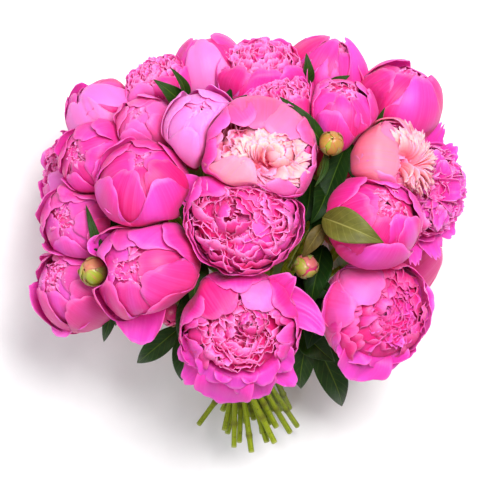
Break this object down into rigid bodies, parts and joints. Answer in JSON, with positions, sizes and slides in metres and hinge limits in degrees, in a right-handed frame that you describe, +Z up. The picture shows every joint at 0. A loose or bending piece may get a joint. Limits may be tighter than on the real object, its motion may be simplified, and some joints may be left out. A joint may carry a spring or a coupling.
{
  "type": "peony bouquet",
  "caption": "Hand-tied bouquet of full pink peonies with buds, leaves and short cut stems, laid on its back on a surface.",
  "frame": {"origin": "on the table, under the middle of the bouquet's box", "axes": "+Z up off the table, +Y from the cut stem ends to the top of the head, +X across the bouquet to the right as it is looked down on"},
  "size_m": [0.3939, 0.3874, 0.291],
  "materials": {
    "petal": "satin, soft and slightly translucent petals, magenta pink with paler lilac insides",
    "stem": "satin, olive green with brown nodes and pale cut ends",
    "leaf": "satin, dark green with a paler midrib and underside",
    "bud": "satin, yellow-green sepals with a streak of pink petal",
    "tie": "satin red ribbon"
  },
  "bodies": {
    "root": {"bloom_01": "petal", "stem_01": "stem", "bloom_02": "petal", "stem_02": "stem", "bloom_03": "petal", "stem_03": "stem", "bloom_04": "petal", "stem_04": "stem", "bloom_05": "petal", "stem_05": "stem", "bloom_06": "petal", "stem_06": "stem", "bloom_07": "petal", "stem_07": "stem", "bloom_08": "petal", "stem_08": "stem", "bloom_09": "petal", "stem_09": "stem", "bloom_10": "petal", "stem_10": "stem", "bloom_11": "petal", "stem_11": "stem", "bloom_12": "petal", "stem_12": "stem", "bloom_13": "petal", "stem_13": "stem", "bloom_14": "petal", "stem_14": "stem", "bloom_15": "petal", "stem_15": "stem", "bloom_16": "petal", "stem_16": "stem", "bloom_17": "petal", "stem_17": "stem", "bloom_18": "petal", "stem_18": "stem", "bloom_19": "petal", "stem_19": "stem", "bloom_20": "petal", "stem_20": "stem", "bloom_21": "petal", "stem_21": "stem", "bloom_22": "petal", "stem_22": "stem", "back_flower_1": "petal", "back_flower_2": "petal", "back_flower_3": "petal", "back_flower_4": "petal", "back_flower_5": "petal", "back_flower_6": "petal", "back_flower_7": "petal", "leaf_middle": "leaf", "leaf_lower_right": "leaf", "leaf_lower_left": "leaf", "leaf_upper_left": "leaf", "bud_1": "bud", "bud_2": "bud", "bud_3": "bud", "bud_4": "bud", "tie": "tie"}
  },
  "joints": []
}
